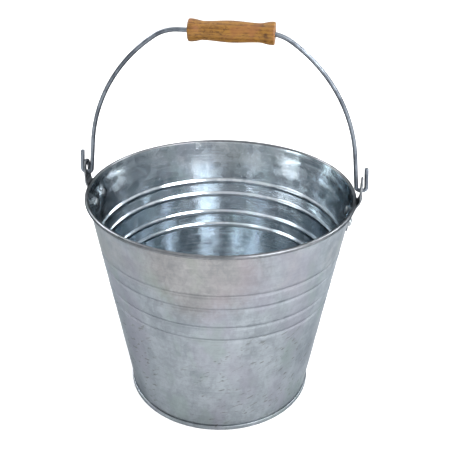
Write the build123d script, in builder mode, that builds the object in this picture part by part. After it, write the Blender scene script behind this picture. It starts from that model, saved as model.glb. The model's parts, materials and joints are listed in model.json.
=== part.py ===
from build123d import *
from math import asin, atan2, cos, hypot, radians, sin, tan
import os

# A galvanised florist bucket, in millimetres. The origin is on the floor at the
# middle of the base, +Z is up, and the two ears that carry the bail are at +X and -X.

# Driving dimensions of the bucket
rim_d = 290.0              # across the outside of the rolled rim
rim_height = 245.5         # floor to the top of the rolled rim
hoop_d = 213.4             # across the seam hoop round the base
sheet = 0.6                # galvanised sheet of the wall and of the base
rim_wire_d = 3.0           # stiffening wire inside the rolled rim
curl_turn = 310.0          # how far the sheet is rolled round that wire, in degrees

# Seam hoop, where the base is folded round the lower edge of the wall
hook_gap = 0.4             # left inside the wall's folded edge
hook_height = 4.6          # floor to the top of the wall's folded edge
fold_gap = 0.15            # above the wall's folded edge, under the turned-in edge of the base
fold_play = 0.02           # between the layers of the seam
hook_bend_r = 0.15         # inside bend of the wall's folded edge
fold_bend_r = 0.25         # inside bend of the base sheet
band_height = 8.5          # the wall stands upright up to here, and flares above
band_bend_r = 8.0
base_height = 8.0          # floor to the upper face of the recessed base
base_bend_r = 1.5

# Stiffening rings, pressed inwards in pairs
ring_pair_drops = (101.1, 60.3)   # from the top of the rim down to the middle of each pair
ring_pitch = 16.8          # between the two rings of a pair
ring_width = 8.0
ring_depth = 1.5           # to the corner of the press, before it is rounded
ring_bend_r = 6.0

# Lock seam up the side, close to the left ear
seam_width = 6.0
seam_lift = 0.9            # how far it stands out from the wall
seam_azimuth = 193.0       # degrees from +X

# Ears
ear_thickness = 1.5
ear_rim_gap = 2.7          # from the outside of the rim to the upright tongue
ear_foot_drop = 30.5       # from the top of the rim down to the lower edge of the plate
ear_bend_drop = 15.0       # from the top of the rim down to where the tongue leaves the wall
ear_rise_drop = 1.0        # from the top of the rim down to where the tongue stands upright
ear_bend_r = 6.0
ear_plate_width = 43.0
ear_plate_height = 15.0
ear_corner_r = 5.0
ear_neck_width = 21.0      # where it leaves the plate
ear_neck_r = 6.0           # hollow corner between the plate and the neck
ear_eye_r = 8.3            # outside of the eye
ear_edge_r = 0.4
corner_search = 0.1        # how near its place a corner is looked for
eye_lift = 6.4             # how far the bail can rise in its slot

# Rivets, two in each ear
rivet_d = 5.0
rivet_spacing = 26.0
rivet_drop = 21.5          # from the top of the rim down to the rivets
rivet_head_d = 9.5
rivet_head_height = 2.2
rivet_tail_d = 9.0
rivet_tail_height = 1.6
rivet_seat_gap = 0.1       # clears the hollow curve of the wall's inner face

# Bail
bail_wire_d = 4.5
bail_clearance = 0.35      # under the wire in the ear's slot
slot_play = 1.6            # on either side of the wire in that slot
hinge_rise = 9.34          # from the top of the rim up to the axis that the bail swings on
bail_rise = 158.5          # from that axis up to the middle of the straight top
bail_top_length = 88.0     # the straight top
bail_shoulder_r = 43.0
bail_leg = 36.0            # straight part of each leg, above the axis
bail_lean = 6.9            # inward lean of each leg, in degrees
bail_ear_gap = 2.15        # between the ear and the wire, on either side of it
bail_hook_r = 3.8
tip_rise = 25.0            # from the axis up to the end of the upturned tip
tip_lean = 5.0             # inward lean of that tip, in degrees
tip_edge_r = 0.6

# Grip, turned from wood and threaded on the straight top
grip_length = 84.8
grip_overrun = 7.8         # the grip has slid this far past the start of the shoulder bend
grip_end_d = 22.4
grip_waist_d = 18.6
grip_belly_d = 21.2
grip_collar = 3.0          # full-width collar at each end
grip_waist_inset = 15.5    # from the end to the narrowest place
grip_edge_r = 1.6
grip_clearance = 1.25      # round the wire in the bore

# Sizes and places that follow from these
rim_wire_r = rim_wire_d / 2
curl_r = rim_wire_r + sheet
rim_centre = (rim_d / 2 - curl_r, rim_height - curl_r)
hoop_r = hoop_d / 2
hook_r = hoop_r - 2 * sheet - fold_play
hook_low = 2 * sheet + fold_play
wall_foot_r = hook_r - hook_gap
hoop_height = hook_height + fold_gap + sheet
rim_run = (rim_centre[0] - wall_foot_r, rim_centre[1] - band_height)
rim_distance = hypot(*rim_run)
wall_lean = atan2(*rim_run) - asin(rim_wire_r / rim_distance)
wall_length = (rim_distance**2 - rim_wire_r**2) ** 0.5
hinge_z = rim_height + hinge_rise
ear_inner_r = rim_d / 2 + ear_rim_gap
ear_middle_r = ear_inner_r + ear_thickness / 2
ear_foot_z = rim_height - ear_foot_drop
ear_shoulder_z = ear_foot_z + ear_plate_height
eye_z = hinge_z + eye_lift
slot_r = bail_wire_d / 2 + slot_play
slot_low_z = hinge_z - bail_wire_d / 2 - bail_clearance
slot_high_z = eye_z + bail_wire_d / 2 + bail_clearance
rivet_z = rim_height - rivet_drop
bail_wire_r = bail_wire_d / 2
bail_hook_span = ear_thickness + bail_wire_d + 2 * bail_ear_gap
lean = radians(bail_lean)
grip_z = hinge_z + bail_rise
grip_shift = bail_top_length / 2 + grip_overrun - grip_length / 2


def wall_point(z, outwards=0.0):
    """A point of the wall's outer line, or one that stands off from it, as (r, z)."""
    r = wall_foot_r + (z - band_height) * tan(wall_lean)
    return (r + outwards * cos(wall_lean), z - outwards * sin(wall_lean))


def parallel(corners, bends, distance):
    """Corners and bends of the outline that runs beside another, to the left of its course."""
    normals = []
    for (start_r, start_z), (end_r, end_z) in zip(corners, corners[1:]):
        run = hypot(end_r - start_r, end_z - start_z)
        normals.append(((start_z - end_z) / run, (end_r - start_r) / run))
    moved = []
    for (r, z), before, after in zip(corners, normals[:1] + normals, normals + normals[-1:]):
        share = distance / (1 + before[0] * after[0] + before[1] * after[1])
        moved.append((r + share * (before[0] + after[0]), z + share * (before[1] + after[1])))
    moved_bends = []
    for before, after, bend in zip(normals, normals[1:], bends):
        turns_left = before[0] * after[1] > before[1] * after[0]
        moved_bends.append(bend - distance if turns_left else bend + distance)
    return moved, moved_bends


def strip_outline(corners, bends, distance):
    """Draws the closed outline between a bent line and the one that runs beside it."""
    line = FilletPolyline(*corners, radius=bends)
    beside_corners, beside_bends = parallel(corners, bends, distance)
    beside = FilletPolyline(*beside_corners, radius=beside_bends)
    Line(line @ 0, beside @ 0)
    Line(line @ 1, beside @ 1)


wall_top = wall_point(band_height + wall_length * cos(wall_lean))
wall_corners = [(wall_foot_r, band_height)]
for pair_drop in ring_pair_drops:
    for ring_height in (rim_height - pair_drop - ring_pitch / 2, rim_height - pair_drop + ring_pitch / 2):
        wall_corners.append(wall_point(ring_height - ring_width / 2))
        wall_corners.append(wall_point(ring_height, -ring_depth))
        wall_corners.append(wall_point(ring_height + ring_width / 2))
wall_bends = [band_bend_r] + [ring_bend_r] * (len(wall_corners) - 1)

rivet_planes = []
for ear_azimuth in (0, 180):
    for rivet_side in (-1, 1):
        rivet_r, rivet_height = wall_point(rivet_z)
        azimuth = radians(ear_azimuth) + rivet_side * asin(rivet_spacing / 2 / rivet_r)
        rivet_centre = (rivet_r * cos(azimuth), rivet_r * sin(azimuth), rivet_height)
        rivet_axis = (cos(wall_lean) * cos(azimuth), cos(wall_lean) * sin(azimuth), -sin(wall_lean))
        rivet_planes.append(Plane(origin=rivet_centre, z_dir=rivet_axis))

os.makedirs("parts", exist_ok=True)

# Lock seam: a raised strip that follows the wall's outer line from the hoop to the rim
with BuildPart() as side_seam:
    with BuildSketch(Plane.XZ):
        with BuildLine():
            seam_start = (wall_foot_r, hoop_height)
            seam_end = wall_point(rim_height - 2 * curl_r - fold_gap)
            seam_corners = [seam_start, *wall_corners, seam_end]
            inner_corners, inner_bends = parallel(seam_corners, wall_bends, sheet / 2)
            strip_outline(inner_corners, inner_bends, -sheet / 2 - seam_lift)
        make_face()
    revolve(axis=Axis.Z)
    with BuildSketch(Plane.XY):
        Rectangle(rim_d, seam_width, align=(Align.MIN, Align.CENTER))
    extrude(amount=rim_height, mode=Mode.INTERSECT)

# Wall: one sheet, from its folded lower edge, over the rings, to the roll round the rim wire
with BuildPart() as body_shell:
    with BuildSketch(Plane.XZ):
        with BuildLine():
            hook = [(hook_r, hook_height), (hook_r, hook_low), (wall_foot_r, hook_low)]
            outer_corners = [*hook, *wall_corners, wall_top]
            outer_bends = [hook_bend_r, hook_bend_r, *wall_bends]
            inner_corners, inner_bends = parallel(outer_corners, outer_bends, sheet)
            outer = FilletPolyline(*outer_corners, radius=outer_bends)
            inner = FilletPolyline(*inner_corners, radius=inner_bends)
            outer_curl = JernArc(start=outer @ 1, tangent=outer % 1, radius=rim_wire_r, arc_size=-curl_turn)
            inner_curl = JernArc(start=inner @ 1, tangent=inner % 1, radius=curl_r, arc_size=-curl_turn)
            Line(outer @ 0, inner @ 0)
            Line(outer_curl @ 1, inner_curl @ 1)
        make_face()
    revolve(axis=Axis.Z)
    add(side_seam.part, rotation=(0, 0, seam_azimuth))
    for rivet_plane in rivet_planes:
        with BuildSketch(rivet_plane):
            Circle(rivet_d / 2)
        extrude(amount=rivet_d, both=True, mode=Mode.SUBTRACT)
body_shell.part.label = "body_shell"
export_step(body_shell.part, "parts/body_shell.step")

# Stiffening wire, closed inside the rolled rim
with BuildPart() as rim_wire:
    with BuildSketch(Plane.XZ):
        with Locations(rim_centre):
            Circle(rim_wire_r)
    revolve(axis=Axis.Z)
rim_wire.part.label = "rim_wire"
export_step(rim_wire.part, "parts/rim_wire.step")

# Base: a recessed disc whose edge goes down inside the wall, under it and up round its fold
with BuildPart() as base_plate:
    with BuildSketch(Plane.XZ):
        with BuildLine():
            base_corners = [
                (0, base_height),
                (wall_foot_r - sheet - fold_play, base_height),
                (wall_foot_r - sheet - fold_play, sheet),
                (hoop_r - sheet, sheet),
                (hoop_r - sheet, hook_height + fold_gap),
                (wall_foot_r + fold_gap, hook_height + fold_gap),
            ]
            base_bends = [base_bend_r, fold_bend_r, fold_bend_r, fold_bend_r]
            strip_outline(base_corners, base_bends, -sheet)
        make_face()
    revolve(axis=Axis.Z)
base_plate.part.label = "base_plate"
export_step(base_plate.part, "parts/base_plate.step")

# Ear: a plate that lies on the wall, with a tongue that passes outside the rim to an upright eye
with BuildPart() as ear_right:
    with BuildSketch(Plane.XZ):
        with BuildLine():
            ear_corners = [
                wall_point(ear_foot_z),
                wall_point(rim_height - ear_bend_drop),
                (ear_inner_r, rim_height - ear_rise_drop),
                (ear_inner_r, eye_z + ear_eye_r),
            ]
            strip_outline(ear_corners, [ear_bend_r, ear_bend_r], -ear_thickness)
        make_face()
    revolve(axis=Axis.Z)
    with BuildSketch(Plane.YZ) as ear_outline:
        plate_middle_z = ear_foot_z + ear_plate_height / 2
        neck_foot = ear_neck_width / 2
        with Locations((0, plate_middle_z)):
            RectangleRounded(ear_plate_width, ear_plate_height, ear_corner_r)
        with BuildLine():
            neck_side = Polyline((neck_foot, plate_middle_z), (neck_foot, ear_shoulder_z), (ear_eye_r, eye_z))
            mirror(neck_side, about=Plane.YZ)
            Line((-ear_eye_r, eye_z), (ear_eye_r, eye_z))
            Line((-neck_foot, plate_middle_z), (neck_foot, plate_middle_z))
        make_face()
        with Locations((0, eye_z)):
            Circle(ear_eye_r)
        at_shoulder = ear_outline.vertices().filter_by_position(
            Axis.Y, ear_shoulder_z - corner_search, ear_shoulder_z + corner_search
        )
        fillet(at_shoulder.filter_by(lambda corner: abs(corner.X) < neck_foot + corner_search), ear_neck_r)
    extrude(amount=rim_d, mode=Mode.INTERSECT)
    with BuildSketch(Plane.YZ):
        with Locations((0, (slot_low_z + slot_high_z) / 2)):
            SlotOverall(slot_high_z - slot_low_z, 2 * slot_r, rotation=90)
    extrude(amount=rim_d, mode=Mode.SUBTRACT)
    fillet(ear_right.edges(), ear_edge_r)
    for rivet_plane in rivet_planes[:2]:
        with BuildSketch(rivet_plane):
            Circle(rivet_d / 2)
        extrude(amount=2 * ear_thickness, both=True, mode=Mode.SUBTRACT)
ear_right.part.label = "ear_right"
export_step(ear_right.part, "parts/ear_right.step")

with BuildPart() as ear_left:
    mirror(ear_right.part, about=Plane.YZ)
ear_left.part.label = "ear_left"
export_step(ear_left.part, "parts/ear_left.step")

# Rivets: a shank that fills its holes, with a domed head outside and a lower dome inside
head_seat = ear_thickness
tail_seat = -sheet - rivet_seat_gap
with BuildPart() as one_rivet:
    with BuildSketch(Plane.XZ):
        with BuildLine():
            head_top = (0, head_seat + rivet_head_height)
            tail_top = (0, tail_seat - rivet_tail_height)
            head = TangentArc(head_top, (rivet_head_d / 2, head_seat), tangent=(1, 0))
            tail = TangentArc(tail_top, (rivet_tail_d / 2, tail_seat), tangent=(1, 0))
            Polyline(head @ 1, (rivet_d / 2, head_seat), (rivet_d / 2, tail_seat), tail @ 1)
            Line(head @ 0, tail @ 0)
        make_face()
    revolve(axis=Axis.Z)
with BuildPart() as ear_rivets:
    with Locations(*rivet_planes):
        add(one_rivet.part)
ear_rivets.part.label = "ear_rivets"
export_step(ear_rivets.part, "parts/ear_rivets.step")

# Bail: a straight top, a shoulder and a long side bend, a leaning leg, and a hook through each ear
leg_foot = (ear_middle_r - bail_hook_span / 2, hinge_z)
leg_up = (-sin(lean), cos(lean))
leg_out = (cos(lean), sin(lean))
leg_top = (leg_foot[0] + bail_leg * leg_up[0], leg_foot[1] + bail_leg * leg_up[1])
shoulder_centre = (bail_top_length / 2, grip_z - bail_shoulder_r)
away = (leg_top[0] - shoulder_centre[0], leg_top[1] - shoulder_centre[1])
away_out = away[0] * leg_out[0] + away[1] * leg_out[1]
side_r = (hypot(*away) ** 2 - bail_shoulder_r**2) / (2 * (away_out - bail_shoulder_r))
side_centre = (leg_top[0] - side_r * leg_out[0], leg_top[1] - side_r * leg_out[1])
side_share = bail_shoulder_r / (side_r - bail_shoulder_r)
shoulder_end = (
    shoulder_centre[0] + side_share * (shoulder_centre[0] - side_centre[0]),
    shoulder_centre[1] + side_share * (shoulder_centre[1] - side_centre[1]),
)
with BuildPart() as bail_wire:
    with BuildLine(Plane.XZ) as bail_line:
        top = Line((0, grip_z), (bail_top_length / 2, grip_z))
        shoulder = TangentArc(top @ 1, shoulder_end, tangent=top % 1)
        side = TangentArc(shoulder_end, leg_top, tangent=shoulder % 1)
        tip_x = leg_foot[0] + bail_hook_span
        tip_end = (tip_x - tip_rise * tan(radians(tip_lean)), hinge_z + tip_rise)
        FilletPolyline(leg_top, leg_foot, (tip_x, hinge_z), tip_end, radius=bail_hook_r)
        mirror(about=Plane.YZ)
    with BuildSketch(Plane(origin=bail_line.wire() @ 0, z_dir=bail_line.wire() % 0)):
        Circle(bail_wire_r)
    sweep(path=bail_line.wire())
    fillet(bail_wire.faces().filter_by(GeomType.PLANE).edges(), tip_edge_r)
bail_wire.part.label = "bail_wire"
export_step(bail_wire.part, "parts/bail_wire.step")

# Grip: turned wood with a collar at each end, a waist inside each collar and a slight belly
with BuildPart() as wood_grip:
    with BuildSketch(Plane.XZ) as grip_half:
        grip_left = grip_shift - grip_length / 2
        grip_right = grip_shift + grip_length / 2
        bore_z = grip_z + bail_wire_r + grip_clearance
        with BuildLine():
            collar = Polyline(
                (grip_left + grip_collar, grip_z + grip_end_d / 2),
                (grip_left, grip_z + grip_end_d / 2),
                (grip_left, bore_z),
                (grip_right, bore_z),
                (grip_right, grip_z + grip_end_d / 2),
                (grip_right - grip_collar, grip_z + grip_end_d / 2),
            )
            Spline(
                collar @ 0,
                (grip_left + grip_waist_inset, grip_z + grip_waist_d / 2),
                (grip_shift, grip_z + grip_belly_d / 2),
                (grip_right - grip_waist_inset, grip_z + grip_waist_d / 2),
                collar @ 1,
            )
        make_face()
    revolve(axis=Axis((0, 0, grip_z), (1, 0, 0)))
    fillet(wood_grip.faces().filter_by(Axis.X).edges(), grip_edge_r)
wood_grip.part.label = "wood_grip"
export_step(wood_grip.part, "parts/wood_grip.step")
print("side bend radius", round(side_r, 1), "hinge height", round(hinge_z, 2))
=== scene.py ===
import json
from math import acos, asin, atan2, cos, degrees, hypot, pi, radians, sin, tan

import bmesh
import bpy
from mathutils import Matrix, Vector, noise


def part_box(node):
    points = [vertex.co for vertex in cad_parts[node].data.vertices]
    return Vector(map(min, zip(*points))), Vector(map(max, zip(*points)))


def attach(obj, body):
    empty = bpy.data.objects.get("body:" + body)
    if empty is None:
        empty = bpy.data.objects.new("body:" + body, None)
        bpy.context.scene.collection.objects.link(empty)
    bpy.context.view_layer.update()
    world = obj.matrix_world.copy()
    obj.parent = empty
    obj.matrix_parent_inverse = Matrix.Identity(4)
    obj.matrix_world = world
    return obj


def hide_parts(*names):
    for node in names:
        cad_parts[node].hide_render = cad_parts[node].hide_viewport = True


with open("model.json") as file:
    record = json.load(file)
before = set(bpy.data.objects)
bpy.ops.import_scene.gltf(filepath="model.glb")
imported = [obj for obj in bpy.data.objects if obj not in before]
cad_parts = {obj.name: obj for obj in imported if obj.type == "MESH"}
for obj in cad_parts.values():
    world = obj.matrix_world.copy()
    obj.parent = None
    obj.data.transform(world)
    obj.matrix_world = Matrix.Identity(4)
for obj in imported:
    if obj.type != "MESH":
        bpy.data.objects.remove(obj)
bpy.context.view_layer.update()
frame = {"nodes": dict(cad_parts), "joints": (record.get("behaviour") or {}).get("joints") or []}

# A galvanised florist bucket: sheet wall with pressed rings, riveted ears, wire bail, wooden grip.
# All lengths are in metres, so small ones are written as a number times mm.
mm = 0.001

# measures read from the frame
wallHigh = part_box("body_shell")[1]
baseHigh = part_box("base_plate")[1]
earLow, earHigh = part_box("ear_right")
bailLow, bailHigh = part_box("bail_wire")
gripLow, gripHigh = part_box("wood_grip")
wireLow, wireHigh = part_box("rim_wire")
hinge = {joint["name"]: joint for joint in frame["joints"]}
hingeZ = hinge["bail_swing"]["pos_m"][2]
wireRadius = (bailHigh.y - bailLow.y) / 2


# small helpers
def smoothStep(low, high, value):
    share = min(1.0, max(0.0, (value - low) / (high - low)))
    return share * share * (3 - 2 * share)


def arcPoints(centre, radius, start, end, steps):
    points = []
    for step in range(steps + 1):
        angle = radians(start + (end - start) * step / steps)
        points.append((centre[0] + radius * cos(angle), centre[1] + radius * sin(angle)))
    return points


def spinLoop(bm, points, steps, axis=(0, 0, 1), centre=(0, 0, 0), place=None):
    # points are (distance from the axis, height along it), joined into a closed loop and spun round
    verts = [bm.verts.new(place(r, h) if place else (r, 0, h)) for r, h in points]
    edges = [bm.edges.new((a, b)) for a, b in zip(verts, verts[1:] + verts[:1])]
    bmesh.ops.spin(
        bm, geom=verts + edges, cent=centre, axis=axis, angle=2 * pi, steps=steps,
        use_merge=True, use_duplicate=False,
    )
    bmesh.ops.remove_doubles(bm, verts=bm.verts, dist=0.001 * mm)
    bmesh.ops.dissolve_degenerate(bm, edges=bm.edges, dist=0.0005 * mm)


def finishMesh(bm, name, materials, sharpAngle=40):
    bmesh.ops.recalc_face_normals(bm, faces=bm.faces)
    mesh = bpy.data.meshes.new(name)
    bm.to_mesh(mesh)
    bm.free()
    mesh.shade_smooth()
    mesh.set_sharp_from_angle(angle=radians(sharpAngle))
    for material in materials:
        mesh.materials.append(material)
    piece = bpy.data.objects.new(name, mesh)
    bpy.context.scene.collection.objects.link(piece)
    print("made", name, len(mesh.polygons), "faces")
    return piece


# shader maths
class Signal:
    def __init__(self, kit, socket):
        self.kit = kit
        self.socket = socket

    def math(self, operation, first, second):
        return self.kit.node("Math", {"operation": operation}, {0: first, 1: second})

    def __add__(self, other):
        return self.math("ADD", self, other)

    def __radd__(self, other):
        return self.math("ADD", other, self)

    def __sub__(self, other):
        return self.math("SUBTRACT", self, other)

    def __rsub__(self, other):
        return self.math("SUBTRACT", other, self)

    def __mul__(self, other):
        return self.math("MULTIPLY", self, other)

    def __rmul__(self, other):
        return self.math("MULTIPLY", other, self)


class MaterialKit:
    def __init__(self, name):
        self.material = bpy.data.materials.new(name)
        self.material.use_nodes = True
        self.tree = self.material.node_tree
        self.tree.nodes.clear()
        self.output = self.tree.nodes.new("ShaderNodeOutputMaterial")
        self.shader = self.tree.nodes.new("ShaderNodeBsdfPrincipled")
        self.tree.links.new(self.shader.outputs[0], self.output.inputs[0])
        self.place = self.node("TexCoord", out="Object")

    def node(self, kind, settings=None, sockets=None, out=0):
        made = self.tree.nodes.new("ShaderNode" + kind)
        for key, value in (settings or {}).items():
            setattr(made, key, value)
        self.fill(made, sockets or {})
        return Signal(self, made.outputs[out])

    def fill(self, made, sockets):
        for key, value in sockets.items():
            if isinstance(value, Signal):
                self.tree.links.new(value.socket, made.inputs[key])
            else:
                made.inputs[key].default_value = value

    def finish(self, sockets):
        self.fill(self.shader, sockets)
        return self.material

    def noise(self, scale, detail=2.0, roughness=0.5, stretch=None, turn=(0, 0, 0), distortion=0.0):
        place = self.place
        if stretch:
            place = self.node("Mapping", None, {"Vector": place, "Rotation": turn, "Scale": stretch})
        sockets = {"Vector": place, "Scale": scale, "Detail": detail}
        sockets.update({"Roughness": roughness, "Distortion": distortion})
        return self.node("TexNoise", None, sockets, out="Fac")

    def between(self, value, low, high):
        # 0 below low, 1 above high, or the other way round where low is the larger
        sockets = {0: value, 1: low, 2: high, 3: 0.0, 4: 1.0}
        return self.node("MapRange", {"interpolation_type": "SMOOTHSTEP"}, sockets)

    def mix(self, factor, first, second, blend="MIX"):
        settings = {"data_type": "RGBA", "blend_type": blend}
        return self.node("Mix", settings, {0: factor, 6: first, 7: second}, out=2)

    def bump(self, height, distance, strength=1.0, below=None):
        sockets = {"Height": height, "Distance": distance, "Strength": strength}
        if below:
            sockets["Normal"] = below
        return self.node("Bump", None, sockets)

    def axis(self, which):
        return self.node("SeparateXYZ", None, {0: self.place}, out=which)


def colour(red, green, blue):
    return (red, green, blue, 1.0)


# galvanised sheet; the inside is a lighter copy of the same zinc (painted light) and the rolled rim a darker
# copy (painted shade)
# "warm" is multiplied in, "edge" is the tint at glancing angles, the rest are mixed in patches
sheetLook = {
    "outside": {
        "pale": colour(0.252, 0.276, 0.296), "deep": colour(0.150, 0.167, 0.184),
        "edge": colour(0.46, 0.48, 0.50), "violet": colour(0.200, 0.192, 0.230),
        "green": colour(0.174, 0.217, 0.203), "warm": colour(1.0, 0.91, 0.85),
        "roughness": 0.42, "flecks": 0.80, "relief": 1.0,
    },
    # painted light: the same zinc as the outside, made much lighter so the inside looks better lit
    "inside": {
        "pale": colour(0.65, 0.69, 0.72), "deep": colour(0.40, 0.44, 0.47),
        "edge": colour(0.62, 0.65, 0.67), "violet": colour(0.53, 0.53, 0.59),
        "green": colour(0.47, 0.55, 0.545), "warm": colour(1.0, 0.97, 0.94),
        "roughness": 0.14, "flecks": 0.0, "relief": 0.35,
    },
    "base": {
        "pale": colour(0.40, 0.425, 0.45), "deep": colour(0.26, 0.285, 0.31),
        "edge": colour(0.45, 0.47, 0.49), "violet": colour(0.34, 0.335, 0.38),
        "green": colour(0.31, 0.36, 0.355), "warm": colour(1.0, 1.0, 1.0),
        "roughness": 0.30, "flecks": 0.0, "relief": 0.8,
    },
    # painted shade: the rolled rim is the same zinc as the wall, made darker
    "rim": {
        "pale": colour(0.175, 0.185, 0.20), "deep": colour(0.095, 0.103, 0.11),
        "edge": colour(0.14, 0.15, 0.16), "violet": colour(0.135, 0.13, 0.15),
        "green": colour(0.125, 0.14, 0.137), "warm": colour(1.0, 0.98, 0.96),
        "roughness": 0.34, "flecks": 0.25, "relief": 0.7,
    },
    "fleck": colour(0.13, 0.138, 0.132),
    "spangleScale": 105.0,
    "fleckTop": 0.15,
    "fleckFull": 0.125,           # scuffs are thickest below here and end at fleckTop
    "warmBottom": 0.175,
    "warmTop": 0.21,
    "warmPatch": (0.0, -0.137, 0.228),
}


def makeSheetMaterial(name, look):
    kit = MaterialKit(name)
    height = kit.axis("Z")
    cloud = kit.noise(13, 4, 0.6, distortion=0.6)                       # broad mottling
    drift = kit.noise(46, 3, 0.55, stretch=(1, 1, 0.40))                # runs of zinc
    grain = kit.noise(210, 3, 0.65, stretch=(1, 1, 0.6), distortion=0.4)
    crystals = {"Vector": kit.place, "Scale": sheetLook["spangleScale"]}
    cells = kit.node("TexVoronoi", None, crystals, out="Color")
    spangle = kit.node("SeparateColor", None, {0: cells}, out="Red")    # zinc crystals
    rolled = kit.noise(1, 3, 0.7, stretch=(14, 14, 620))                # fine lines round the wall
    grit = kit.noise(900, 2, 0.6)

    shade = 0.30 * cloud + 0.20 * drift + 0.24 * grain + 0.08 * spangle + 0.18 * rolled
    body = kit.mix(kit.between(shade, 0.36, 0.64), look["deep"], look["pale"])
    violetPatch = kit.between(kit.noise(19, 3, 0.55, stretch=(1, 1, 0.5)), 0.50, 0.66)
    greenPatch = kit.between(kit.noise(23, 3, 0.55, stretch=(1.2, 1.2, 0.6), turn=(0.4, 0.3, 0)), 0.52, 0.66)
    body = kit.mix(violetPatch * 0.42, body, look["violet"])
    body = kit.mix(greenPatch * 0.42, body, look["green"])
    warmBand = kit.between(height, sheetLook["warmBottom"], sheetLook["warmTop"])
    warmBand = warmBand * kit.between(cloud + 0.3 * grain, 0.52, 0.86)
    body = kit.mix(warmBand * 0.7, body, look["warm"], "MULTIPLY")
    patchEnds = {0: kit.place, 1: sheetLook["warmPatch"]}
    patchAway = kit.node("VectorMath", {"operation": "DISTANCE"}, patchEnds, out="Value")
    warmPatch = kit.between(patchAway + 0.06 * (cloud - 0.5) + 0.04 * (grain - 0.5), 0.072, 0.030)
    body = kit.mix(warmPatch, body, look["warm"], "MULTIPLY")

    # short slanting scuffs, thickest below the rings, laid out on the unrolled sheet
    turned = kit.node("Math", {"operation": "ARCTAN2"}, {0: kit.axis("X"), 1: 0.0 - kit.axis("Y")})
    around = turned * baseHigh.x
    unrolled = kit.node("CombineXYZ", None, {"X": around, "Y": height})
    slant = {"Vector": unrolled, "Rotation": (0, 0, radians(26)), "Scale": (1 / 110, 1 / 300, 1)}
    slanted = kit.node("Mapping", {"vector_type": "TEXTURE"}, slant)
    strokes = {"Vector": slanted, "Scale": 1, "Detail": 2, "Distortion": 0.5}
    scuffSeed = kit.node("TexNoise", None, strokes, out="Fac")
    scuffArea = kit.between(kit.noise(19, 2), 0.40, 0.60)
    scuffs = kit.between(scuffSeed, 0.595, 0.695) * scuffArea
    scuffs = scuffs * kit.between(height, sheetLook["fleckTop"], sheetLook["fleckFull"]) * look["flecks"]
    streak = kit.between(kit.noise(1, 2, 0.5, stretch=(60, 60, 420), distortion=0.2), 0.66, 0.74)
    speck = kit.between(kit.noise(420, 1, 0.5), 0.68, 0.76)
    body = kit.mix(scuffs + speck * 0.25 + streak * 0.18, body, sheetLook["fleck"])

    satin = look["roughness"] + 0.16 * (cloud - 0.5) + 0.08 * (spangle - 0.5)
    satin = satin + 0.16 * (rolled - 0.5) + 0.20 * scuffs
    broad = kit.bump(drift + 0.15 * spangle + 0.3 * grain, 0.10 * mm, 0.6 * look["relief"])
    fine = kit.bump(rolled * 0.6 + grit * 0.3, 0.012 * mm, 0.5 * look["relief"], broad)
    return kit.finish({
        "Base Color": body,
        "Metallic": 1.0,
        "Roughness": satin,
        "Normal": fine,
        "Specular Tint": look["edge"],
    })


# dull steel of the ears, rivets and wire
steelLook = {
    "ear": {
        "light": colour(0.25, 0.26, 0.275), "dark": colour(0.09, 0.10, 0.11),
        "roughness": 0.42, "scale": 130,
    },
    "rivet": {
        "light": colour(0.27, 0.295, 0.31), "dark": colour(0.10, 0.11, 0.12),
        "roughness": 0.36, "scale": 190,
    },
    "wire": {
        "light": colour(0.170, 0.190, 0.215), "dark": colour(0.085, 0.095, 0.112),
        "roughness": 0.42, "scale": 120,
    },
}


def makeSteelMaterial(name, look):
    kit = MaterialKit(name)
    cloud = kit.noise(look["scale"], 4, 0.6, distortion=0.4)
    broad = kit.noise(look["scale"] * 0.25, 2, 0.5)
    grit = kit.noise(look["scale"] * 9, 2, 0.6)
    zinc = kit.between(0.55 * cloud + 0.45 * broad, 0.36, 0.60)
    body = kit.mix(zinc, look["dark"], look["light"])
    pit = kit.between(kit.noise(look["scale"] * 4, 2, 0.55), 0.66, 0.74)
    body = kit.mix(pit * 0.55, body, look["dark"])
    dull = look["roughness"] + 0.22 * (0.5 - cloud) + 0.12 * (grit - 0.5) + 0.15 * pit
    relief = kit.bump(cloud - 0.6 * pit, 0.10 * mm, 0.6)
    relief = kit.bump(grit, 0.02 * mm, 0.5, relief)
    return kit.finish({
        "Base Color": body,
        "Metallic": 1.0,
        "Roughness": dull,
        "Normal": relief,
        "Specular Tint": look["dark"],
    })


# varnished wood
woodLook = {
    "light": colour(0.205, 0.096, 0.0150),
    "middle": colour(0.080, 0.032, 0.0050),
    "dark": colour(0.036, 0.013, 0.0035),
    "rosy": colour(0.165, 0.060, 0.0190),
    "pore": colour(0.022, 0.009, 0.0030),
    "roughness": 0.52,
    # places along the grip from its middle, and round it, with the size of each knot
    "knots": [
        (34 * mm, -1.5, 2.8 * mm),
        (-6 * mm, -1.2, 1.2 * mm),
        (14 * mm, 1.1, 2.0 * mm),
        (-27 * mm, 2.4, 2.4 * mm),
    ],
}


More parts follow.
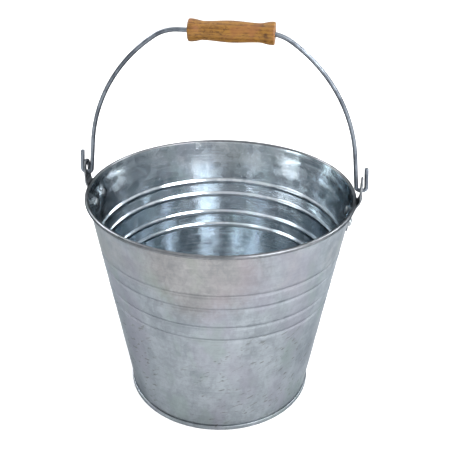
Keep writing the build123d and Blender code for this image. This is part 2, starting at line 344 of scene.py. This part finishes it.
def makeWoodMaterial(name, centre, radius):
    kit = MaterialKit(name)
    local = kit.node("Mapping", None, {"Vector": kit.place, "Location": (-centre.x, -centre.y, -centre.z)})
    kit.place = local
    wander = kit.noise(32, 2, 0.5, stretch=(0.5, 1, 1))
    heart = {"Vector": local, "Location": (0, 9 * mm, 16 * mm), "Scale": (0.10, 1, 1)}    # the tree's middle
    rings = kit.node(
        "TexWave",
        {"wave_type": "RINGS", "rings_direction": "X", "wave_profile": "SAW"},
        {
            "Vector": kit.node("Mapping", None, heart),
            "Scale": 95, "Distortion": 5.5, "Detail": 3, "Detail Scale": 1.2, "Detail Roughness": 0.6,
        },
        out="Fac",
    )
    fibre = kit.noise(1, 3, 0.65, stretch=(70, 900, 900))
    figure = kit.noise(1, 3, 0.6, stretch=(34, 210, 210), distortion=0.8)
    pores = kit.between(kit.noise(1, 2, 0.5, stretch=(130, 850, 850)), 0.64, 0.72)
    curl = kit.noise(1, 4, 0.65, stretch=(150, 260, 260), turn=(0, 0.35, 0.5), distortion=1.2)
    tone = 0.13 * rings + 0.17 * figure + 0.12 * wander + 0.10 * fibre + 0.48 * curl
    body = kit.mix(kit.between(tone, 0.37, 0.58), woodLook["middle"], woodLook["light"])
    body = kit.mix(kit.between(kit.noise(62, 2, 0.5), 0.52, 0.68) * 0.6, body, woodLook["rosy"])
    body = kit.mix(kit.between(figure, 0.56, 0.72) * 0.40, body, woodLook["dark"])
    body = kit.mix(pores * 0.60, body, woodLook["pore"])
    knots = 0.0
    for along, around, size in woodLook["knots"]:
        spot = (along, radius * sin(around), radius * cos(around))
        away = kit.node("VectorMath", {"operation": "DISTANCE"}, {0: local, 1: spot}, out="Value")
        away = away + 0.0016 * (wander - 0.5) + 0.0022 * (figure - 0.5)
        knots = kit.between(away, size, size * 0.25) + knots
    body = kit.mix(knots * 0.75, body, woodLook["dark"])
    satin = woodLook["roughness"] + 0.20 * (fibre - 0.5) + 0.22 * pores
    relief = kit.bump(0.5 * fibre + 0.3 * rings - pores - knots * 0.5, 0.09 * mm, 0.55)
    return kit.finish({
        "Base Color": body,
        "Roughness": satin,
        "Normal": relief,
        "Coat Weight": 0.10,
        "Coat Roughness": 0.35,
        "Specular IOR Level": 0.25,
    })


outsideSheet = makeSheetMaterial("galvanisedOutside", sheetLook["outside"])
insideSheetPaintedLight = makeSheetMaterial("galvanisedInside", sheetLook["inside"])
baseSheet = makeSheetMaterial("galvanisedBase", sheetLook["base"])
rimSheetPaintedShade = makeSheetMaterial("galvanisedRim", sheetLook["rim"])
earSteel = makeSteelMaterial("earSteel", steelLook["ear"])
rivetSteel = makeSteelMaterial("rivetSteel", steelLook["rivet"])
wireSteel = makeSteelMaterial("wireSteel", steelLook["wire"])
print("materials made")


# wall
wall = {
    "sheet": 0.6 * mm,
    "seamLayers": 1.62 * mm,      # hoop, folded edge and gap outside the wall's foot
    "bandHeight": 8.5 * mm,
    "ringHeights": (136.0 * mm, 152.8 * mm, 176.8 * mm, 193.6 * mm),
    "ringWidth": 7.6 * mm,
    "ringDepth": 1.15 * mm,
    "ringCrest": 1.2,             # above 1 the crest is narrower than a plain wave's
    "ringOutside": 0.8,           # the groove outside is a little shallower than the ridge inside
    "ringRow": 0.6 * mm,
    "plainRow": 3.0 * mm,
    "foot": 2.0 * mm,
    "curlTurn": 310,
    "steps": 300,
    "seamAzimuth": radians(193),
    "seamHalf": 3.0 * mm,
    "seamLift": 0.9 * mm,
    "seamShoulder": 0.45 * mm,
    "seamReach": 12 * mm,         # faces this near the seam are cut for it
    "hoopTop": 5.4 * mm,          # the wall is smooth and seamless below here
    "wave": 0.30 * mm,            # how uneven the sheet is
    "waveFull": 30 * mm,          # the waviness grows from the hoop up to here
    "waveFade": (22 * mm, 6 * mm),    # and dies away over this stretch under the rim
    "bossDepth": 1.5 * mm,
    "bossRadius": 9.6 * mm,
    "bossFlat": 0.60,             # the share of that radius that is drawn in fully
    "rivetSpacing": 26 * mm,
    "rivetDrop": 21.5 * mm,
}
rimRadius = wallHigh.x
rimTop = wallHigh.z
rimWireRadius = (wireHigh.z - wireLow.z) / 2
curlRadius = rimWireRadius + wall["sheet"]
rimCentre = (rimRadius - curlRadius, rimTop - curlRadius)
footRadius = baseHigh.x - wall["seamLayers"]
reach = (rimCentre[0] - footRadius, rimCentre[1] - wall["bandHeight"])
lean = atan2(*reach) - asin(rimWireRadius / hypot(*reach))
rivetZ = rimTop - wall["rivetDrop"]


def wallRadius(z):
    return footRadius + max(0.0, z - wall["bandHeight"]) * tan(lean)


def ringPress(z):
    press = 0.0
    for ringHeight in wall["ringHeights"]:
        away = abs(z - ringHeight) / (wall["ringWidth"] / 2)
        if away < 1:
            press += wall["ringDepth"] * (0.5 + 0.5 * cos(pi * away)) ** wall["ringCrest"]
    return press


def rivetBoss(x, y, z):
    # how far the wall is drawn in round each rivet
    drawn = 0.0
    for side in (-1, 1):
        away = hypot(y * side - wall["rivetSpacing"] / 2, z - rivetZ)
        inwards = 1 - smoothStep(wall["bossFlat"], 1.0, away / wall["bossRadius"])
        drawn = max(drawn, wall["bossDepth"] * inwards)
    return drawn if abs(x) > rimRadius / 2 else 0.0


def wallHeights():
    # rows of points up the wall: close together over each ring, further apart between
    ringHalf = wall["ringWidth"] / 2
    stops = [wall["foot"], wall["bandHeight"]]
    for ringHeight in wall["ringHeights"]:
        stops += [ringHeight - ringHalf, ringHeight + ringHalf]
    stops.append(rimCentre[1] - curlRadius)
    heights = []
    for low, high in zip(stops, stops[1:]):
        overRing = any(low < ringHeight < high for ringHeight in wall["ringHeights"])
        rowHeight = wall["ringRow"] if overRing else wall["plainRow"]
        rows = max(1, round((high - low) / rowHeight))
        heights += [low + (high - low) * row / rows for row in range(rows)]
    return heights


def makeWall():
    bm = bmesh.new()
    heights = wallHeights()
    square = (cos(lean), -sin(lean))
    outer = [(wallRadius(z) - ringPress(z) * wall["ringOutside"], z) for z in heights]
    through = (wall["sheet"] * square[0], wall["sheet"] * square[1])
    inner = [(wallRadius(z) - ringPress(z) - through[0], z - through[1]) for z in heights]
    start = 180 - degrees(lean)
    roll = arcPoints(rimCentre, rimWireRadius, start, start - wall["curlTurn"], 22)
    rollOutside = arcPoints(rimCentre, curlRadius, start, start - wall["curlTurn"], 30)
    spinLoop(bm, outer + roll + rollOutside[::-1] + inner[::-1], wall["steps"])

    # the lock seam gets its own edges, then its band is lifted
    along = Vector((cos(wall["seamAzimuth"]), sin(wall["seamAzimuth"]), 0))
    across = Vector((-along.y, along.x, 0))
    for offset in (-1, 1):
        for shoulder in (0, wall["seamShoulder"]):
            near = [face for face in bm.faces if face.calc_center_median().normalized().dot(along) > 0.75
                    and abs(face.calc_center_median().dot(across)) < wall["seamReach"]]
            parts = list({item for face in near for item in (*face.verts, *face.edges, face)})
            cut = across * offset * (wall["seamHalf"] + shoulder)
            bmesh.ops.bisect_plane(bm, geom=parts, dist=0.0001 * mm, plane_co=cut, plane_no=across)
    hoopTop = wall["hoopTop"]
    fadeLow, fadeHigh = (rimTop - drop for drop in wall["waveFade"])
    seamOuter = wall["seamHalf"] + wall["seamShoulder"]
    for vert in bm.verts:
        x, y, z = vert.co
        r = hypot(x, y)
        if z > rimCentre[1] - curlRadius:
            continue              # the roll stays true
        outwards = Vector((x / r, y / r, 0))
        onOuterFace = r > wallRadius(z) - ringPress(z) - wall["sheet"] * 0.5
        calm = smoothStep(hoopTop, wall["waveFull"], z) * (1 - smoothStep(fadeLow, fadeHigh, z))
        ripple = noise.noise(Vector((x, y, z * 0.6)) * 21) + 0.45 * noise.noise(Vector((x, y, z)) * 52)
        move = wall["wave"] * ripple * calm - rivetBoss(x, y, z)
        sideways = abs(vert.co.dot(across))
        if onOuterFace and vert.co.dot(along) > 0 and sideways < seamOuter and z > hoopTop:
            move += wall["seamLift"] * (1 - smoothStep(wall["seamHalf"], seamOuter, sideways))
        vert.co += outwards * move
    bmesh.ops.recalc_face_normals(bm, faces=bm.faces)
    for face in bm.faces:
        middle = face.calc_center_median()
        fromWire = hypot(hypot(middle.x, middle.y) - rimCentre[0], middle.z - rimCentre[1])
        onCurl = fromWire < curlRadius + 0.2 * mm
        facesIn = face.normal.x * middle.x + face.normal.y * middle.y < 0
        face.material_index = 2 if onCurl else (1 if facesIn else 0)
    return finishMesh(bm, "bucketWall", [outsideSheet, insideSheetPaintedLight, rimSheetPaintedShade])


bucketWall = makeWall()
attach(bucketWall, "bucket")
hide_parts("body_shell")


# base
base = {
    "hoopHeight": 5.35 * mm,
    "hoopEdge": 0.9 * mm,
    "topBend": 1.5 * mm,
    "dish": 0.5 * mm,
    "pressRadius": 82 * mm,
    "pressWidth": 7 * mm,
    "pressDepth": 0.8 * mm,
    "foldBend": 1.2 * mm,         # height of the slanting bends inside the hoop
    "foldSlant": 0.3 * mm,
    "lipGap": 0.12 * mm,          # between the wall and the turned-in edge of the hoop
    "lipFall": 0.1 * mm,          # the hoop's top slopes down this much to the wall
    "rows": 34,
    "steps": 240,
}


def baseTop(r):
    # slightly dished, with one shallow pressed ring
    dish = base["dish"] * (1 - (r / footRadius) ** 2)
    away = abs(r - base["pressRadius"]) / (base["pressWidth"] / 2)
    press = base["pressDepth"] * (0.5 + 0.5 * cos(pi * away)) if away < 1 else 0.0
    return baseHigh.z - dish - press


def makeBase():
    bm = bmesh.new()
    sheet = wall["sheet"]
    skirt = footRadius - sheet
    hoop = baseHigh.x
    radii = [skirt * (row / base["rows"]) for row in range(base["rows"])]
    top = [(r, baseTop(r)) for r in radii]
    bend = arcPoints((skirt - base["topBend"], baseHigh.z - base["topBend"]), base["topBend"], 90, 0, 6)
    bendTop = base["foldBend"]
    slant = base["foldSlant"]
    lipEnd = footRadius + base["lipGap"]
    hoopInside = hoop - sheet
    inside = [(skirt, bendTop), (skirt + slant, sheet), (hoopInside - slant, sheet), (hoopInside, bendTop)]
    lip = [(hoopInside, base["hoopHeight"] - sheet), (lipEnd, base["hoopHeight"] - sheet)]
    edge = base["hoopEdge"]
    crown = [(lipEnd, base["hoopHeight"] - base["lipFall"])]
    crown += arcPoints((hoop - edge, base["hoopHeight"] - edge), edge, 90, 0, 6)
    crown += arcPoints((hoop - edge, edge), edge, 0, -90, 6)
    crown += arcPoints((skirt - sheet + edge, edge), edge, -90, -180, 5)
    under = [(skirt - sheet, baseHigh.z - base["topBend"])]
    under += [(r * (skirt - base["topBend"]) / skirt, baseTop(r) - sheet) for r in radii[::-1]]
    spinLoop(bm, top + bend + inside + lip + crown + under, base["steps"])
    return finishMesh(bm, "basePlate", [baseSheet, outsideSheet], 35)


basePlate = makeBase()
for face in basePlate.data.polygons:
    onHoop = hypot(face.center.x, face.center.y) > footRadius or face.normal.z < -0.3
    face.material_index = 1 if onHoop else 0
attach(basePlate, "bucket")
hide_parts("base_plate")


# ears
ear = {
    "thickness": 1.5 * mm,
    "bendDrop": 15 * mm,
    "riseDrop": 1.0 * mm,
    "bendRadius": 6.0 * mm,
    "plateWidth": 43 * mm,
    "plateHeight": 15 * mm,
    "cornerRadius": 5 * mm,
    "neckWidth": 21 * mm,
    "neckCorner": 6 * mm,
    "eyeRadius": 8.3 * mm,
    "slotRadius": 3.85 * mm,
    "slotClearance": 0.35 * mm,
    "slotLift": 6.4 * mm,
    "edge": 0.4 * mm,
    "dish": 1.2 * mm,
    "dishHalfWidth": 7.5 * mm,
    "dishFlat": 1.5 * mm,
    "dishRise": (12 * mm, 19 * mm),    # it starts over this stretch above the plate's foot
    "dishEnd": (7 * mm, 3.5 * mm),     # and ends over this one below the hinge
    "eyeRoll": 0.45 * mm,
    "rollMiddle": 6.0 * mm,       # from the slot's middle line to the middle of the rolled band
    "rollHalf": 4.4 * mm,
    "firstCut": 1.5 * mm,
    "neckDrop": 22 * mm,          # the bent neck starts this far below the rim's top
    "cutRows": (2.0 * mm, 1.1 * mm),   # rows of points up the plate, and up the neck
    "cutColumns": 2.4 * mm,
}
earFootZ = earLow.z
eyeZ = hingeZ + ear["slotLift"]
tongueRadius = earHigh.x - ear["thickness"]
earMiddle = earHigh.x - ear["thickness"] / 2


def filletPath(corners, radii, steps=6):
    # a bent line through corners with its bends rounded, as a list of points
    path = [corners[0]]
    for before, corner, after, radius in zip(corners, corners[1:], corners[2:], radii):
        back = (Vector(before) - Vector(corner)).normalized()
        on = (Vector(after) - Vector(corner)).normalized()
        half = acos(max(-1.0, min(1.0, back.dot(on)))) / 2
        middle = Vector(corner) + (back + on).normalized() * radius / sin(half)
        first = Vector(corner) + back * radius / tan(half)
        last = Vector(corner) + on * radius / tan(half)
        for step in range(steps + 1):
            share = step / steps
            spot = middle + (first - middle).slerp(last - middle, share) * radius
            path.append((spot.x, spot.y))
    path.append(corners[-1])
    return path


earProfile = filletPath(
    [
        (wallRadius(earFootZ), earFootZ),
        (wallRadius(rimTop - ear["bendDrop"]), rimTop - ear["bendDrop"]),
        (tongueRadius, rimTop - ear["riseDrop"]),
        (tongueRadius, earHigh.z),
    ],
    [ear["bendRadius"], ear["bendRadius"]],
    8,
)


def earPlace(depth, y, z):
    # a point of the flat ear, taken to its place on the bent one
    for (r0, z0), (r1, z1) in zip(earProfile, earProfile[1:]):
        if z <= z1 or (r1, z1) == earProfile[-1]:
            share = (z - z0) / (z1 - z0)
            run = hypot(r1 - r0, z1 - z0)
            r = r0 + (r1 - r0) * share + depth * (z1 - z0) / run
            return Vector(((r * r - y * y) ** 0.5, y, z - depth * (r1 - r0) / run))


def earOutline():
    plate = ear["plateWidth"] / 2
    shoulder = earFootZ + ear["plateHeight"]
    neck = ear["neckWidth"] / 2
    side = filletPath(
        [
            (0, earFootZ), (plate, earFootZ), (plate, shoulder), (neck, shoulder), (ear["eyeRadius"], eyeZ),
        ],
        [ear["cornerRadius"], ear["cornerRadius"], ear["neckCorner"]],
        7,
    )
    eye = arcPoints((0, eyeZ), ear["eyeRadius"], 0, 90, 10)[1:]
    wireGap = wireRadius + ear["slotClearance"] - ear["slotRadius"]
    slotTop = arcPoints((0, eyeZ + wireGap), ear["slotRadius"], 90, 0, 8)
    slotFoot = arcPoints((0, hingeZ - wireGap), ear["slotRadius"], 0, -90, 8)
    return side + eye + slotTop + slotFoot


def makeEar(name, side):
    bm = bmesh.new()
    corners = [bm.verts.new((0, y, z)) for y, z in earOutline()]
    bm.faces.new(corners)
    bmesh.ops.mirror(bm, geom=[*bm.verts, *bm.edges, *bm.faces], axis="Y", merge_dist=0.001 * mm)
    z = earFootZ + ear["firstCut"]
    while z < earHigh.z:
        everything = [*bm.verts, *bm.edges, *bm.faces]
        bmesh.ops.bisect_plane(bm, geom=everything, dist=0.0002 * mm, plane_co=(0, 0, z), plane_no=(0, 0, 1))
        z += ear["cutRows"][1] if z > rimTop - ear["neckDrop"] else ear["cutRows"][0]
    for column in range(-8, 9):
        everything = [*bm.verts, *bm.edges, *bm.faces]
        place = (0, column * ear["cutColumns"], 0)
        bmesh.ops.bisect_plane(bm, geom=everything, dist=0.0002 * mm, plane_co=place, plane_no=(0, 1, 0))
    pushed = bmesh.ops.extrude_face_region(bm, geom=list(bm.faces))
    raised = [item for item in pushed["geom"] if isinstance(item, bmesh.types.BMVert)]
    bmesh.ops.translate(bm, verts=raised, vec=(ear["thickness"], 0, 0))
    bmesh.ops.recalc_face_normals(bm, faces=bm.faces)
    rim = [edge for edge in bm.edges if len(edge.link_faces) == 2 and edge.calc_face_angle() > radians(60)]
    bmesh.ops.bevel(
        bm, geom=rim, offset=ear["edge"], affect="EDGES", segments=3, profile=0.5,
        material=-1, clamp_overlap=True,
    )
    for vert in bm.verts:
        depth, y, z = vert.co
        neckShare = smoothStep(earFootZ + ear["dishRise"][0], earFootZ + ear["dishRise"][1], z)
        neckShare *= 1 - smoothStep(hingeZ - ear["dishEnd"][0], hingeZ - ear["dishEnd"][1], z)
        depth += ear["dish"] * neckShare * (1 - smoothStep(ear["dishFlat"], ear["dishHalfWidth"], abs(y)))
        # the metal round the slot is rolled a little thicker than the plate
        fromSlot = hypot(y, z - min(max(z, hingeZ), eyeZ))
        roll = ear["eyeRoll"] * (1 - smoothStep(0, ear["rollHalf"], abs(fromSlot - ear["rollMiddle"])))
        roll *= smoothStep(hingeZ - ear["rollMiddle"], hingeZ, z)
        depth += roll if depth > ear["thickness"] / 2 else -roll
        vert.co = earPlace(depth, y, z)
        vert.co.x *= side
    return finishMesh(bm, name, [earSteel], 50)


for name, side, node in (("earRight", 1, "ear_right"), ("earLeft", -1, "ear_left")):
    earPiece = makeEar(name, side)
    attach(earPiece, "bucket")
    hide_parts(node)


# rivets
rivet = {
    "shank": 2.5 * mm,
    "headRadius": 4.75 * mm,
    "headHeight": 2.2 * mm,
    "tailRadius": 4.5 * mm,
    "tailHeight": 1.6 * mm,
    "edge": 0.35 * mm,
    "seatGap": 0.1 * mm,          # clears the hollow curve of the wall's inner face
    "steps": 40,
}


def domePoints(radius, height, seat, upwards):
    # a low dome from its middle out to its foot, with a small upright edge
    points = []
    crown = height - rivet["edge"]
    for step in range(9):
        angle = pi / 2 * step / 8
        points.append((radius * sin(angle), seat + upwards * (rivet["edge"] + crown * cos(angle))))
    points.append((radius, seat))
    return points


def makeRivets():
    bm = bmesh.new()
    headSeat = ear["thickness"]
    tailSeat = -wall["sheet"] - rivet["seatGap"] - wall["bossDepth"]
    head = domePoints(rivet["headRadius"], rivet["headHeight"], headSeat, 1)
    tail = domePoints(rivet["tailRadius"], rivet["tailHeight"], tailSeat, -1)
    profile = head + [(rivet["shank"], headSeat), (rivet["shank"], tailSeat)] + tail[::-1]
    for earAngle in (0, pi):
        for side in (-1, 1):
            one = bmesh.new()
            spinLoop(one, profile, rivet["steps"])
            r = wallRadius(rivetZ)
            azimuth = earAngle + side * asin(wall["rivetSpacing"] / 2 / r)
            outwards = Vector((cos(lean) * cos(azimuth), cos(lean) * sin(azimuth), -sin(lean)))
            turn = outwards.to_track_quat("Z", "Y").to_matrix().to_4x4()
            place = Matrix.Translation((r * cos(azimuth), r * sin(azimuth), rivetZ)) @ turn
            bmesh.ops.transform(one, matrix=place, verts=one.verts)
            spare = bpy.data.meshes.new("spareRivet")
            one.to_mesh(spare)
            one.free()
            bm.from_mesh(spare)
            bpy.data.meshes.remove(spare)
    return finishMesh(bm, "earRivets", [rivetSteel], 50)


earRivets = makeRivets()
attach(earRivets, "bucket")
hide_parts("ear_rivets")


# bail
bail = {
    "shoulderRadius": 43 * mm,
    "topLength": 88 * mm,
    "legLength": 36 * mm,
    "lean": radians(6.9),
    "hookSpan": 10.3 * mm,
    "hookRadius": 3.8 * mm,
    "tipRise": 25 * mm,
    "tipLean": radians(5),
    "sides": 24,
    "arcRow": 4 * mm,             # between the rings of points along a bend
    "tipEdge": 0.6 * mm,
}
topZ = bailHigh.z - wireRadius
legX = earMiddle - bail["hookSpan"] / 2


def bailRun():
    # the bends and straights from one tip to the middle of the top: ("go", length) or ("turn", radius, angle)
    foot = Vector((legX, hingeZ))
    up = Vector((-sin(bail["lean"]), cos(bail["lean"])))
    out = Vector((cos(bail["lean"]), sin(bail["lean"])))
    legTop = foot + up * bail["legLength"]
    shoulderCentre = Vector((bail["topLength"] / 2, topZ - bail["shoulderRadius"]))
    away = legTop - shoulderCentre
    shoulder = bail["shoulderRadius"]
    sideRadius = (away.length_squared - shoulder**2) / (2 * (away.dot(out) - shoulder))
    sideCentre = legTop - out * sideRadius
    toShoulder = (shoulderCentre - sideCentre).normalized()
    sideAngle = acos(toShoulder.dot(out))
    shoulderAngle = pi / 2 - bail["lean"] - sideAngle
    hook = bail["hookRadius"]
    tipAngle = pi / 2 + bail["tipLean"]
    tipShare = hook * tan(tipAngle / 2)
    hookAngle = pi / 2 - bail["lean"]
    hookShare = hook * tan(hookAngle / 2)
    return [
        ("go", bail["tipRise"] / cos(bail["tipLean"]) - tipShare),
        ("turn", hook, tipAngle),
        ("go", bail["hookSpan"] - tipShare - hookShare),
        ("turn", hook, hookAngle),
        ("go", bail["legLength"] - hookShare),
        ("turn", -sideRadius, sideAngle),
        ("turn", -shoulder, shoulderAngle),
        ("go", bail["topLength"] / 2),
    ]


def makeBail():
    bm = bmesh.new()
    tipX = legX + bail["hookSpan"] - bail["tipRise"] * tan(bail["tipLean"])
    at = Vector((-tipX, 0, hingeZ + bail["tipRise"]))
    heading = Vector((-sin(bail["tipLean"]), 0, -cos(bail["tipLean"])))
    made = bmesh.ops.create_circle(bm, segments=bail["sides"], radius=wireRadius, cap_ends=True)
    bmesh.ops.rotate(bm, verts=made["verts"], matrix=Matrix.Rotation(bail["tipLean"], 3, "Y"))
    bmesh.ops.translate(bm, verts=made["verts"], vec=at)
    firstFace = [*bm.faces][0]
    ring = [*made["verts"], *firstFace.edges]
    half = bailRun()
    for step in half + half[::-1]:
        edges = [item for item in ring if isinstance(item, bmesh.types.BMEdge)]
        if step[0] == "go":
            grown = bmesh.ops.extrude_edge_only(bm, edges=edges)["geom"]
            at += heading * step[1]
            verts = [item for item in grown if isinstance(item, bmesh.types.BMVert)]
            bmesh.ops.translate(bm, verts=verts, vec=heading * step[1])
            ring = verts + [item for item in grown if isinstance(item, bmesh.types.BMEdge)
                            and all(vert in set(verts) for vert in item.verts)]
        else:
            # a positive radius bends to the left of the heading, a negative one to the right
            leftwards = Vector((-heading.z, 0, heading.x))
            centre = at + leftwards * step[1]
            angle = -step[2] if step[1] > 0 else step[2]
            arcSteps = max(6, int(abs(step[1] * step[2]) / bail["arcRow"]))
            verts = [item for item in ring if isinstance(item, bmesh.types.BMVert)]
            spun = bmesh.ops.spin(
                bm, geom=verts + edges, cent=centre, axis=(0, 1, 0), angle=angle, steps=arcSteps,
                use_duplicate=False,
            )
            ring = spun["geom_last"]
            turn = Matrix.Rotation(angle, 3, "Y")
            at = centre + turn @ (at - centre)
            heading = turn @ heading
    last = [item for item in ring if isinstance(item, bmesh.types.BMEdge)]
    bmesh.ops.contextual_create(bm, geom=last)
    bmesh.ops.remove_doubles(bm, verts=bm.verts, dist=0.001 * mm)
    bmesh.ops.recalc_face_normals(bm, faces=bm.faces)
    tips = [edge for edge in bm.edges if any(len(face.verts) > 6 for face in edge.link_faces)]
    bmesh.ops.bevel(
        bm, geom=tips, offset=bail["tipEdge"], affect="EDGES", segments=3, profile=0.5,
        material=-1, clamp_overlap=True,
    )
    print("bail ends at", [round(value / mm, 2) for value in at])
    return finishMesh(bm, "bailWire", [wireSteel], 50)


bailWire = makeBail()
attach(bailWire, "bail")
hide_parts("bail_wire")


# grip
grip = {
    "bore": 3.5 * mm,
    "endRadius": 11.2 * mm,
    "waistRadius": 9.3 * mm,
    "bellyRadius": 10.6 * mm,
    "collar": 3.0 * mm,
    "waistInset": 15.5 * mm,
    "edge": 1.6 * mm,
    "boreEdge": 0.8 * mm,
    "rows": 64,
    "steps": 96,
    "unevenness": 0.16 * mm,
}
gripMiddle = (gripLow + gripHigh) / 2
gripHalf = (gripHigh.x - gripLow.x) / 2


def gripRadius(fromEnd):
    waist = grip["waistInset"]
    if fromEnd < grip["collar"]:
        return grip["endRadius"]
    if fromEnd < waist:
        share = smoothStep(grip["collar"], waist, fromEnd)
        return grip["endRadius"] + (grip["waistRadius"] - grip["endRadius"]) * share
    share = smoothStep(waist, gripHalf, fromEnd)
    return grip["waistRadius"] + (grip["bellyRadius"] - grip["waistRadius"]) * share


def gripPlace(r, along):
    # a point of the turned outline, above the grip's own axis
    return (gripMiddle.x + along, gripMiddle.y, gripMiddle.z + r)


def makeGrip():
    bm = bmesh.new()
    edge = grip["edge"]
    leftEnd = [(grip["bore"], grip["boreEdge"] - gripHalf), (grip["bore"] + grip["boreEdge"], -gripHalf)]
    leftEnd += arcPoints((grip["endRadius"] - edge, edge - gripHalf), edge, -90, 0, 7)
    turned = []
    for step in range(1, grip["rows"]):
        along = (gripHalf - edge) * (2 * step / grip["rows"] - 1)
        turned.append((gripRadius(gripHalf - abs(along)), along))
    rightEnd = [(r, -along) for r, along in leftEnd[::-1]]
    spinLoop(bm, leftEnd + turned + rightEnd, grip["steps"], (1, 0, 0), gripMiddle, gripPlace)
    for vert in bm.verts:
        away = vert.co - gripMiddle
        radius = hypot(away.y, away.z)
        if radius > grip["bore"] + grip["boreEdge"] and abs(away.x) < gripHalf - 0.1 * mm:
            bump = noise.noise(Vector((away.x * 26, away.y * 70, away.z * 70)))
            vert.co += Vector((0, away.y, away.z)) / radius * (bump - 0.6) * grip["unevenness"]
    wood = makeWoodMaterial("varnishedWood", gripMiddle, grip["bellyRadius"])
    return finishMesh(bm, "woodGrip", [wood], 60)


woodGrip = makeGrip()
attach(woodGrip, "grip")
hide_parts("wood_grip")

# the wire inside the rolled rim keeps its shape from the frame
rimWire = frame["nodes"]["rim_wire"]
rimWire.data.materials.clear()
rimWire.data.materials.append(wireSteel)


# floor, light and camera
studio = {
    "floorSize": 12.0,
    "floorColour": colour(0.93, 0.93, 0.93),
    "worldColour": colour(0.95, 0.97, 1.0),
    "worldStrength": 0.95,
    "lights": [
        # name, place, aim, size, watts
        ("ceilingLight", (0.0, 0.4, 2.4), (0, 0.2, 0), 2.6, 17),
        ("leftLight", (-1.45, 0.85, 1.6), (0, 0, 0.15), 0.38, 34),
        ("rightLight", (1.45, 0.95, 1.6), (0, 0, 0.15), 0.38, 30),
        ("frontLight", (1.25, -0.95, 1.05), (0.55, -0.2, 0), 1.1, 46),
    ],
}
camera = {
    "place": (103.8 * mm, -691.4 * mm, 574.2 * mm),
    "down": radians(28.10),
    "turn": radians(8.145),
    "roll": radians(0.573),
    "lens": 57.26,
    "sensor": 36.0,
}

floorMesh = bmesh.new()
bmesh.ops.create_grid(floorMesh, x_segments=2, y_segments=2, size=studio["floorSize"] / 2)
floorKit = MaterialKit("paleFloor")
floorMaterial = floorKit.finish({"Base Color": studio["floorColour"], "Roughness": 0.9})
floor = finishMesh(floorMesh, "floor", [floorMaterial])

scene = bpy.context.scene
scene.view_settings.view_transform = "Standard"
scene.cycles.glossy_bounces = 8
world = bpy.data.worlds.new("studioAir")
scene.world = world
world.use_nodes = True
air = world.node_tree.nodes["Background"]
air.inputs["Color"].default_value = studio["worldColour"]
air.inputs["Strength"].default_value = studio["worldStrength"]

for name, place, aim, size, watts in studio["lights"]:
    lamp = bpy.data.lights.new(name, "AREA")
    lamp.shape = "SQUARE"
    lamp.size = size
    lamp.energy = watts
    holder = bpy.data.objects.new(name, lamp)
    holder.location = place
    holder.rotation_euler = (Vector(aim) - Vector(place)).to_track_quat("-Z", "Y").to_euler()
    scene.collection.objects.link(holder)

cameraData = bpy.data.cameras.new("productCamera")
cameraData.lens = camera["lens"]
cameraData.sensor_width = camera["sensor"]
cameraData.clip_start = 0.01
cameraObject = bpy.data.objects.new("productCamera", cameraData)
cameraObject.matrix_world = (
    Matrix.Translation(camera["place"])
    @ Matrix.Rotation(camera["turn"], 4, "Z")
    @ Matrix.Rotation(pi / 2 - camera["down"], 4, "X")
    @ Matrix.Rotation(camera["roll"], 4, "Z")
)
scene.collection.objects.link(cameraObject)
scene.camera = cameraObject
print("studio set")
